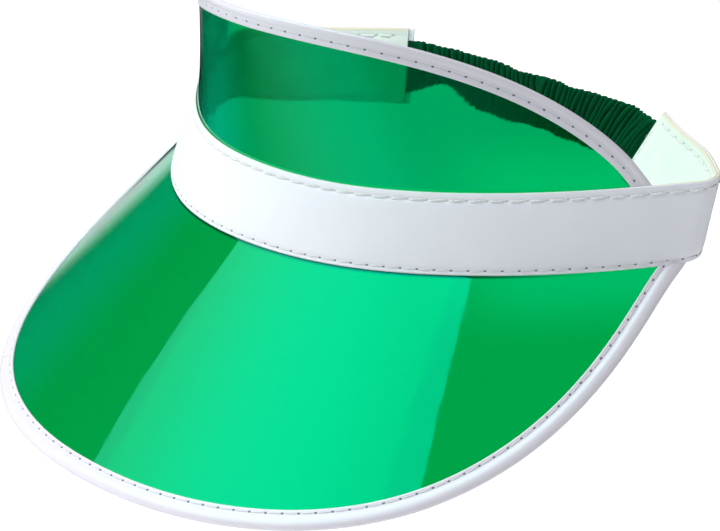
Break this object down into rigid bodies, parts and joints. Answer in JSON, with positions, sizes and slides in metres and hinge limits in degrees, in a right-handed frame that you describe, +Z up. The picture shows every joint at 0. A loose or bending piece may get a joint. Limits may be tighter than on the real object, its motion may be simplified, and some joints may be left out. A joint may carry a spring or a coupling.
{
  "type": "sun visor",
  "caption": "Open-topped sun visor with a clear green brim and crown in a white headband, held on by a gathered elastic between rear flaps.",
  "frame": {"origin": "middle of the head opening, at half the height of the headband", "axes": "+Z up as worn, -Y forward through the brim, +X to the wearer's left"},
  "size_m": [0.2304, 0.2091, 0.1339],
  "materials": {
    "white_sheet": "satin white soft vinyl",
    "lining_sheet": "satin white soft vinyl",
    "green_sheet": "clear green soft vinyl, glossy",
    "binding_sheet": "satin folded vinyl tape",
    "thread": "cream sewing thread",
    "elastic_rubber": "pale elastic ribbon",
    "elastic_fabric": "dark green gathered fabric"
  },
  "bodies": {
    "headband": {"headband_outer_ply": "white_sheet", "headband_lining": "lining_sheet", "headband_top_thread": "thread", "headband_bottom_thread": "thread", "brim_panel": "green_sheet", "brim_binding": "binding_sheet", "brim_binding_thread": "thread", "crown_panel": "green_sheet", "crown_binding": "binding_sheet", "crown_binding_thread": "thread", "left_corner_outer_ply": "white_sheet", "left_corner_lining": "lining_sheet", "right_corner_outer_ply": "white_sheet", "right_corner_lining": "lining_sheet"},
    "left_flap": {"left_flap_outer_ply": "white_sheet", "left_flap_lining": "lining_sheet", "left_flap_thread": "thread"},
    "right_flap": {"right_flap_outer_ply": "white_sheet", "right_flap_lining": "lining_sheet", "right_flap_thread": "thread"},
    "left_elastic_end": {"left_elastic_casing": "elastic_fabric"},
    "left_elastic_middle": {"left_elastic_core": "elastic_rubber"},
    "right_elastic_end": {"right_elastic_casing": "elastic_fabric"},
    "right_elastic_middle": {"right_elastic_core": "elastic_rubber"}
  },
  "joints": [
    {"name": "left_flap_fold", "type": "hinge", "parent": "headband", "child": "left_flap", "pos_m": [0.1107, 0.0197, 0], "axis": [0, 0, -1], "range_deg": [0, 40], "stiffness_Nm_per_rad": 0.1, "deforming": ["left_corner_outer_ply", "left_corner_lining"]},
    {"name": "right_flap_fold", "type": "hinge", "parent": "headband", "child": "right_flap", "pos_m": [-0.1107, 0.0197, 0], "axis": [0, 0, 1], "range_deg": [0, 40], "deforming": ["right_corner_outer_ply", "right_corner_lining"]},
    {"name": "left_elastic_turn", "type": "hinge", "parent": "left_flap", "child": "left_elastic_end", "pos_m": [0.0549, 0.0557, 0], "axis": [0, 0, 1], "range_deg": [0, 40], "deforming": ["left_elastic_casing"]},
    {"name": "right_elastic_turn", "type": "hinge", "parent": "right_flap", "child": "right_elastic_end", "pos_m": [-0.0549, 0.0557, 0], "axis": [0, 0, -1], "range_deg": [0, 40], "deforming": ["right_elastic_casing"]},
    {"name": "left_elastic_stretch", "type": "slide", "parent": "left_elastic_end", "child": "left_elastic_middle", "axis": [-1, 0, 0], "range_m": [0, 0.0365], "deforming": ["left_elastic_core"]},
    {"name": "right_elastic_stretch", "type": "slide", "parent": "right_elastic_end", "child": "right_elastic_middle", "axis": [1, 0, 0], "range_m": [0, 0.0365], "deforming": ["right_elastic_core"]}
  ],
  "couplings": [
    {"joint": "right_flap_fold", "follows": "left_flap_fold", "ratio": 1},
    {"joint": "left_elastic_turn", "follows": "left_flap_fold", "ratio": 1},
    {"joint": "right_elastic_turn", "follows": "left_flap_fold", "ratio": 1},
    {"joint": "left_elastic_stretch", "follows": "left_flap_fold", "m_per_rad": 0.0519},
    {"joint": "right_elastic_stretch", "follows": "left_flap_fold", "m_per_rad": 0.0519}
  ]
}
